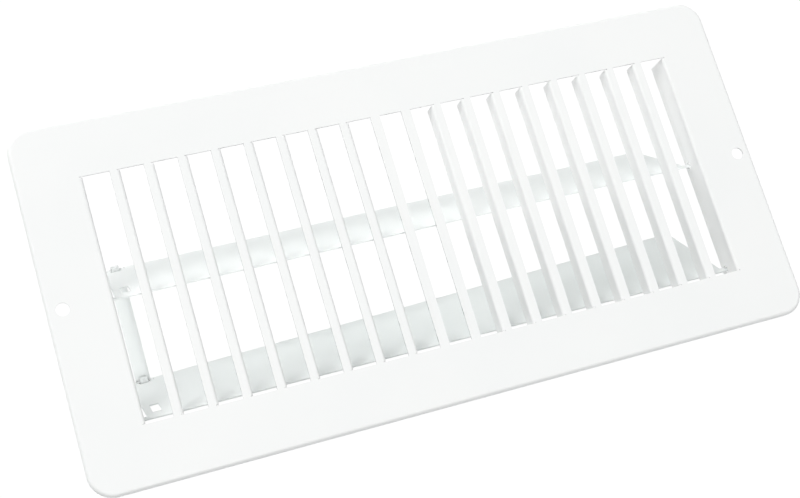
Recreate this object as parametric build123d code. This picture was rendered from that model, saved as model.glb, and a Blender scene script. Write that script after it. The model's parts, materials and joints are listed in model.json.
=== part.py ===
"""Floor register: a stamped louvre face with two linked damper blades behind it.

The origin is the centre of the two screw holes on the front of the face. X runs along the face's long
side, Y along its short side and Z out of the front. Lengths are in millimetres, angles in degrees.
"""

from build123d import *
from math import copysign, hypot
import os

# Sheet thicknesses
face_sheet = 0.7
blade_sheet = 0.5
link_sheet = 0.6

# Face
face_length = 292.1
face_width = 139.7
face_corner = 9.5
rim_height = 2.5
rim_bend = 1.5
screw_hole = 5.0
screw_inset = 5.95

# Louvre: slots with a fin folded down at the outer edge of each but the middle one
end_border = 24.3
side_border = 22.35
rib_pitch = 12.9
rib_width = 3.9
fin_depth = 6.5
fold_radius = 1.2
fold_relief = 0.3

# Pivots: flat tabs of the blades in round holes of the end folds
tab_width = 3.0
tab_reach = 1.2
pivot_clearance = 0.08
pivot_land = 1.1

# Damper blades
blade_opening = 61.6
front_twist = 9.5
rear_margin = 2.9
blade_end_gap = 2.0
fin_gap = 0.5
closing_gap = 0.8
window_width = 3.4
window_height = 8.0
window_inset = 6.45
window_rise = 8.8

# Link between the blades' free edges
link_width = 5.8
tongue_width = 3.0
link_inset = 7.7
land_width = 2.0
curl_clearance = 0.17
curl_turn = 260.0
link_slot_height = 2.2
link_slot_gap = 0.7

# Louvre layout
opening_length = face_length - 2 * end_border
opening_width = face_width - 2 * side_border
rib_count = round(opening_length / rib_pitch) - 1
first_rib = -(rib_count - 1) / 2 * rib_pitch
flange_half = opening_width / 2 - fold_relief

# The link's tongues are curled round a narrow land at each blade's free edge
land_radius = hypot(land_width, blade_sheet) / 2
curl_inside = land_radius + curl_clearance
curl_outside = curl_inside + link_sheet

# Pivot axes: the front one by the end of its wall, so that closed blades lie end to end under the fins
blade_heel = tab_width / 2
pivot_radius = hypot(tab_width, blade_sheet) / 2 + pivot_clearance
pivot_depth = fin_depth + max(curl_outside, blade_heel) + fin_gap
wall_depth = pivot_depth + pivot_radius + pivot_land
blade_gap = curl_outside - land_width / 2 + closing_gap
front_pivot_y = pivot_radius + pivot_land - flange_half
rear_edge_y = opening_width / 2 - rear_margin
blade_pitch = (rear_edge_y - front_pivot_y + blade_gap + blade_heel) / 2
blade_reach = blade_pitch - blade_gap - blade_heel
blade_length = opening_length - 2 * blade_end_gap
rear_pivot_y = front_pivot_y + blade_pitch
link_arm = blade_reach - land_width / 2
link_x = link_inset - opening_length / 2
cutter_depth = 4 * blade_sheet


def pressed_sheet():
    """The blank with its rim turned down, hollow from behind."""
    inside_length = face_length - 2 * face_sheet
    inside_width = face_width - 2 * face_sheet
    outside = extrude(RectangleRounded(face_length, face_width, face_corner), -rim_height)
    outside = fillet(outside.edges().group_by(Axis.Z)[-1], rim_bend)
    hollow = extrude(RectangleRounded(inside_length, inside_width, face_corner - face_sheet), -rim_height)
    hollow = fillet(hollow.edges().group_by(Axis.Z)[-1], rim_bend - face_sheet)
    return outside - Pos(Z=-face_sheet) * hollow


def folded_flange(depth):
    """A flange bent down at x = 0 from the sheet on its +X side, short of the slot's ends by the relief."""
    centre = (fold_radius, -fold_radius)
    outline = [
        CenterArc(centre, fold_radius, 90, 90),
        Line((0, -fold_radius), (0, -depth)),
        Line((0, -depth), (face_sheet, -depth)),
        Line((face_sheet, -depth), (face_sheet, -fold_radius)),
        CenterArc(centre, fold_radius - face_sheet, 90, 90),
        Line((fold_radius, -face_sheet), (fold_radius, 0)),
    ]
    return extrude(Plane.XZ * make_face(outline), flange_half, both=True)


def face_plate():
    """Each slot is cut past its folded edge as far as the bend, which the flange then fills."""
    fin = folded_flange(fin_depth)
    end_wall = folded_flange(wall_depth)
    rib_centres = [first_rib + index * rib_pitch for index in range(rib_count)]
    slot_lefts = [-opening_length / 2] + [x + rib_width / 2 for x in rib_centres]
    slot_rights = [x - rib_width / 2 for x in rib_centres] + [opening_length / 2]
    cuts = []
    flanges = []
    for index, (left, right) in enumerate(zip(slot_lefts, slot_rights)):
        flange = end_wall if index in (0, rib_count) else fin
        if 2 * index < rib_count:
            flanges.append(Pos(left) * Rot(Z=180) * flange)
            left -= fold_radius
        elif 2 * index > rib_count:
            flanges.append(Pos(right) * flange)
            right += fold_radius
        cuts.append(Pos((left + right) / 2) * Box(right - left, opening_width, 2 * face_sheet))
    for side in (-1, 1):
        screw_x = side * (face_length / 2 - screw_inset)
        cuts.append(Pos(screw_x) * Cylinder(screw_hole / 2, 2 * face_sheet))
    pivots = []
    for pivot_y in (front_pivot_y, rear_pivot_y):
        through_walls = Rot(Y=90) * Cylinder(pivot_radius, opening_length + 4 * face_sheet)
        pivots.append(Pos(0, pivot_y, -pivot_depth) * through_walls)
    return pressed_sheet() - cuts + flanges - pivots


def damper_blade(pivot_y, twist):
    """A blade with a tab at each end, turned open about its tabs, and bent by the twist away from the link."""
    section = Pos((blade_reach - blade_heel) / 2, 0) * Rectangle(blade_reach + blade_heel, blade_sheet)
    tab_length = blade_end_gap + face_sheet + tab_reach
    ends = []
    tabs = []
    for end_x in (-blade_length / 2, blade_length / 2):
        bend = Rot(X=twist * (end_x - link_x) / (blade_length / 2 - link_x))
        tab_x = end_x + copysign(tab_length / 2, end_x)
        ends.append(Pos(end_x) * bend * (Plane.YZ * section))
        tabs.append(Pos(tab_x) * bend * Box(tab_length, tab_width, blade_sheet))
    blade = loft(ends, ruled=True) + tabs
    window_x = window_inset - opening_length / 2
    blade -= Pos(window_x, window_rise) * Box(window_width, window_height, cutter_depth)
    slot_y = blade_reach - land_width - link_slot_height / 2
    blade -= Pos(link_x, slot_y) * Box(tongue_width + 2 * link_slot_gap, link_slot_height, cutter_depth)
    return Pos(0, pivot_y, -pivot_depth) * Rot(X=-blade_opening) * blade


def link_bar():
    """A strip behind the blades, with a tongue at each end curled round a land. The section's x runs along Y."""
    middle = curl_inside + link_sheet / 2
    straight = Line((-blade_pitch, -middle), (0, -middle))
    front_curl = CenterArc((-blade_pitch, 0), middle, 270 - curl_turn, curl_turn)
    rear_curl = CenterArc((0, 0), middle, 270, curl_turn)
    bar = extrude(Plane.YZ * trace(straight, link_sheet), link_width / 2, both=True)
    for curl in (front_curl, rear_curl):
        bar += extrude(Plane.YZ * trace(curl, link_sheet), tongue_width / 2, both=True)
    rear_land = Pos(0, rear_pivot_y, -pivot_depth) * Rot(X=-blade_opening) * Pos(0, link_arm, 0)
    return Pos(link_x, 0, 0) * Pos(rear_land.position) * bar


os.makedirs("parts", exist_ok=True)
export_step(face_plate(), "parts/face_plate.step")
export_step(damper_blade(rear_pivot_y, 0), "parts/rear_blade.step")
export_step(damper_blade(front_pivot_y, front_twist), "parts/front_blade.step")
export_step(link_bar(), "parts/link_bar.step")
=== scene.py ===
"""Floor register: white baked enamel on stamped steel, with its light and camera. Lengths are in metres."""

import json
from math import radians

import bmesh
import bpy
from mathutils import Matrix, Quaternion, Vector


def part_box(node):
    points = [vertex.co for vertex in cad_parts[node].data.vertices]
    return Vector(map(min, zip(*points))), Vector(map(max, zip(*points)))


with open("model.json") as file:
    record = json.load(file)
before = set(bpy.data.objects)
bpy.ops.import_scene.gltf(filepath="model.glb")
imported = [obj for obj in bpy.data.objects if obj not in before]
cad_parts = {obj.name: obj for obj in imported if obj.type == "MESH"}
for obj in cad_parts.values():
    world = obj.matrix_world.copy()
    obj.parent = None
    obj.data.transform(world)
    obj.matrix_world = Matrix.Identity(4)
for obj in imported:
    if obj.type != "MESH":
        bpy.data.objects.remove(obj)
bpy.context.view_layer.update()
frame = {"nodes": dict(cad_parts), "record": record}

# Enamel: a noise has its scale per metre and its detail, a ramp the values at which it starts and ends
tone_noise = (14.0, 3.0)
tone_ramp = (0.35, 0.70)
gloss_noise = (90.0, 4.0)
gloss_spread = 0.12
peel_noise = (620.0, 2.0)
ripple_noise = (38.0, 1.0)
ripple_to_peel = 12
enamel_specular = 0.3
worn_metallic = 0.6

# Face: a grey along the sheared edges, partly thin enamel and partly painted shade, chipped in places
face_white = (0.90, 0.90, 0.895, 1)
face_dull = (0.885, 0.888, 0.885, 1)
face_steel_and_edge_shade = (0.36, 0.37, 0.37, 1)
face_roughness = 0.42
face_peel = 0.000012
sheared_depth = 0.000735
sheared_slope = 0.3
sheared_thin_enamel_and_shade = 0.25
chip_wear = 0.6
chip_noise = (330.0, 3.0)
chip_ramp = (0.50, 0.64)

# Damper: the enamel is rubbed off where pieces turn in each other; its white and dull white carry a cyan tint
# that is painted shade
damper_white_shade_tinted = (0.875, 0.897, 0.89, 1)
damper_dull_shade_tinted = (0.855, 0.882, 0.874, 1)
damper_steel = (0.45, 0.455, 0.45, 1)
damper_roughness = 0.48
damper_peel = 0.000016
tab_rub_start = 0.0026
tab_rub_full = 0.00182
hook_rub_full = 0.0011
hook_rub_end = 0.0022
hook_rub_half_width = 0.004
rub_wear = 0.8
rub_noise = (700.0, 3.0)
rub_ramp = (0.42, 0.60)

# Camera: the photograph's viewing angle, 800 by 498
camera_place = Vector((-0.17018, -0.12063, 0.50753))
camera_target = Vector((-0.01247, -0.00674, 0.0))
camera_roll = 39.05
camera_lens = 63.82
camera_near = 0.01

# Light: each lamp's place, width, height and power; all of them look at the register
sky_light = 0.30
sky_tint = (0.96, 1.0, 0.993, 1)
lamps = {
    "far_left": ((-1.8, 2.2, 2.2), 1.8, 1.8, 56.0),
    "far_right": ((1.3, 1.9, 2.2), 1.5, 1.5, 14.0),
    "far_strip": ((-0.55, 2.0, 1.75), 0.25, 1.7, 8.0),
    "near_side": ((-0.16, -1.54, 2.9), 0.4, 0.4, 41.0),
    "low_side": ((-0.3, 1.4, -0.45), 2.0, 0.25, 7.0),
}

# Floor: it glows white where it is seen, a little less below the register, where its shadow falls
floor_depth = 0.62
floor_size = 12.0
floor_white = 0.95
glow_strength = 1.06
glow_share = 0.85
glow_full = 3 * floor_depth
pure_white = (1, 1, 1, 1)


class Wire:
    """A node's output. Maths on it adds Math nodes, and node() adds any other node to the same tree."""

    def __init__(self, socket):
        self.socket = socket

    def node(self, kind, settings, sockets, output=0):
        tree = self.socket.id_data
        made = tree.nodes.new("ShaderNode" + kind)
        for name, value in settings.items():
            setattr(made, name, value)
        for name, value in sockets.items():
            if isinstance(value, Wire):
                tree.links.new(value.socket, made.inputs[name])
            else:
                made.inputs[name].default_value = value
        return Wire(made.outputs[output]) if made.outputs else None

    def maths(self, operation, first, second):
        return self.node("Math", {"operation": operation}, {0: first, 1: second})

    def __add__(self, other):
        return self.maths("ADD", self, other)

    def __radd__(self, other):
        return self.maths("ADD", other, self)

    def __sub__(self, other):
        return self.maths("SUBTRACT", self, other)

    def __rsub__(self, other):
        return self.maths("SUBTRACT", other, self)

    def __mul__(self, other):
        return self.maths("MULTIPLY", self, other)

    def __rmul__(self, other):
        return self.maths("MULTIPLY", other, self)

    def __gt__(self, other):
        return self.maths("GREATER_THAN", self, other)

    def __lt__(self, other):
        return self.maths("LESS_THAN", self, other)

    def __abs__(self):
        return self.maths("ABSOLUTE", self, 0.0)

    def noise(self, scale, detail):
        """Values about 0.5 that vary over 1/scale metres of the surface."""
        return self.node("TexNoise", {}, {"Vector": self, "Scale": scale, "Detail": detail})

    def ramp(self, low, high):
        """Runs smoothly from 0 at low to 1 at high."""
        limits = {"Value": self, "From Min": low, "From Max": high}
        return self.node("MapRange", {"interpolation_type": "SMOOTHSTEP"}, limits)

    def blend(self, start, end):
        """A colour between start and end, by this value."""
        colours = {"Factor": self, 6: start, 7: end}
        return self.node("Mix", {"data_type": "RGBA"}, colours, output=2)

    def part(self, axis):
        """One component of a vector."""
        return self.node("SeparateXYZ", {}, {"Vector": self}, output=axis)


def new_material(name):
    """An empty material, and the wire of its object coordinates."""
    material = bpy.data.materials.new(name)
    material.use_nodes = True
    material.node_tree.nodes.clear()
    place = Wire(material.node_tree.nodes.new("ShaderNodeTexCoord").outputs["Object"])
    return material, place


def put_out(shader):
    """Sends a shader to a new Material Output."""
    shader.node("OutputMaterial", {}, {"Surface": shader})


def enamel(place, white, dull, roughness, peel_height, wear_and_edge_shade, steel_and_shade_grey):
    """Baked enamel with orange peel and a faint change of tone, greyed to the steel colour by the wear mask:
    real wear, and on the face's sheared edges partly painted shade.
    """
    tone = place.noise(*tone_noise).ramp(*tone_ramp)
    gloss = place.noise(*gloss_noise)
    peel = place.noise(*peel_noise) * peel_height
    height = peel + place.noise(*ripple_noise) * (ripple_to_peel * peel_height)
    shader = place.node("BsdfPrincipled", {}, {
        "Base Color": wear_and_edge_shade.blend(tone.blend(white, dull), steel_and_shade_grey),
        "Roughness": roughness + gloss_spread * (gloss - 0.5),
        "Metallic": wear_and_edge_shade * worn_metallic,
        "Normal": height.node("Bump", {}, {"Height": height, "Distance": 1.0, "Strength": 1.0}),
        "Specular IOR Level": enamel_specular,
    })
    put_out(shader)


def face_enamel():
    """Semi-gloss white on the face, with a broken grey along its sheared edges that is partly thin enamel and
    partly painted shade.
    """
    material, place = new_material("face_enamel")
    normal = place.node("TexCoord", {}, {}, output="Normal")
    upright = abs(normal.part("Z")) < sheared_slope
    sheared = upright * (place.part("Z") > -sheared_depth)
    # The grey along the sheared edges is partly thin enamel and partly painted shade
    edge_wear_and_shade = sheared_thin_enamel_and_shade + chip_wear * place.noise(*chip_noise).ramp(*chip_ramp)
    enamel(place, face_white, face_dull, face_roughness, face_peel, sheared * edge_wear_and_shade, face_steel_and_edge_shade)
    return material


def damper_enamel():
    """Thinner satin white on the damper, tinted cyan as painted shade, rubbed at the blades' tabs and under
    the link's curled ends.
    """
    material, place = new_material("damper_enamel")
    tab_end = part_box("rear_blade")[1][0]
    pivots = {joint["name"]: joint["pos_m"] for joint in frame["record"]["behaviour"]["joints"]}
    pitch = pivots["rear_blade_hinge"][1] - pivots["front_blade_hinge"][1]
    link_x, hook_y, hook_z = pivots["link_pivot"]
    rubbed = abs(place.part("X")).ramp(tab_end - tab_rub_start, tab_end - tab_rub_full)
    across = place.node("VectorMath", {"operation": "MULTIPLY"}, {0: place, 1: (0, 1, 1)})
    beside = abs(place.part("X") - link_x) < hook_rub_half_width
    for y in (hook_y, hook_y - pitch):
        ends = {0: across, 1: (0, y, hook_z)}
        away = across.node("VectorMath", {"operation": "DISTANCE"}, ends, output="Value")
        rubbed = rubbed + beside * (1 - away.ramp(hook_rub_full, hook_rub_end))
    wear_and_edge_shade = rubbed * place.noise(*rub_noise).ramp(*rub_ramp) * rub_wear
    enamel(place, damper_white_shade_tinted, damper_dull_shade_tinted, damper_roughness, damper_peel, wear_and_edge_shade, damper_steel)
    return material


def dress(nodes, material):
    """Gives nodes of the frame their finish."""
    for node in nodes:
        mesh = frame["nodes"][node].data
        mesh.materials.clear()
        mesh.materials.append(material)


def seen_rays(tree):
    """1 for rays from the camera and for reflected and refracted ones, 0 for those that carry light."""
    rays = tree.nodes.new("ShaderNodeLightPath")
    camera, glossy, through = (
        Wire(rays.outputs[kind]) for kind in ("Is Camera Ray", "Is Glossy Ray", "Is Transmission Ray"))
    either = camera.maths("MAXIMUM", camera, glossy)
    return either.maths("MAXIMUM", either, through)


def pale_floor():
    """A wide white floor below the register, which keeps a trace of its shadow."""
    mesh = bpy.data.meshes.new("studio_floor")
    shape = bmesh.new()
    bmesh.ops.create_grid(shape, x_segments=1, y_segments=1, size=floor_size / 2)
    bmesh.ops.translate(shape, verts=shape.verts, vec=(0, 0, -floor_depth))
    shape.to_mesh(mesh)
    shape.free()
    floor = bpy.data.objects.new("studio_floor", mesh)
    bpy.context.scene.collection.objects.link(floor)
    material, place = new_material("floor_white")
    matt = place.node("BsdfDiffuse", {}, {"Color": (floor_white, floor_white, floor_white, 1)})
    glow = place.node("Emission", {}, {"Color": pure_white, "Strength": glow_strength})
    away = place.node("VectorMath", {"operation": "LENGTH"}, {0: place}, output="Value")
    glowing = glow_share + (1 - glow_share) * away.ramp(floor_depth, glow_full)
    seen = seen_rays(material.node_tree)
    put_out(matt.node("MixShader", {}, {"Fac": seen * glowing, 1: matt, 2: glow}))
    mesh.materials.append(material)


def white_sky():
    """A pale room all round: plain light on the register, pure white where it is seen."""
    world = bpy.data.worlds.new("white_room")
    world.use_nodes = True
    world.node_tree.nodes.clear()
    seen = seen_rays(world.node_tree)
    strength = sky_light + (1 - sky_light) * seen
    sky = seen.node("Background", {}, {"Color": seen.blend(sky_tint, pure_white), "Strength": strength})
    sky.node("OutputWorld", {}, {"Surface": sky})
    bpy.context.scene.world = world


def soft_box(name, place, width, height, power):
    """A rectangular lamp that looks at the register."""
    lamp = bpy.data.lights.new(name, "AREA")
    lamp.shape = "RECTANGLE"
    lamp.size = width
    lamp.size_y = height
    lamp.energy = power
    box = bpy.data.objects.new(name, lamp)
    box.location = place
    box.rotation_mode = "QUATERNION"
    box.rotation_quaternion = (-box.location).to_track_quat("-Z", "Y")
    bpy.context.scene.collection.objects.link(box)


def photo_camera():
    """Looks down on the face from beyond its near left corner, tipped as the photograph is."""
    lens = bpy.data.cameras.new("photo_camera")
    lens.sensor_fit = "HORIZONTAL"
    lens.lens = camera_lens
    lens.clip_start = camera_near
    camera = bpy.data.objects.new("photo_camera", lens)
    level = (camera_target - camera_place).to_track_quat("-Z", "Y")
    camera.location = camera_place
    camera.rotation_mode = "QUATERNION"
    camera.rotation_quaternion = level @ Quaternion((0, 0, 1), radians(camera_roll))
    bpy.context.scene.collection.objects.link(camera)
    bpy.context.scene.camera = camera


dress(["face_plate"], face_enamel())
dress(["rear_blade", "front_blade", "link_bar"], damper_enamel())
pale_floor()
white_sky()
for name, (place, width, height, power) in lamps.items():
    soft_box(name, place, width, height, power)
photo_camera()
bpy.context.scene.view_settings.view_transform = "Standard"
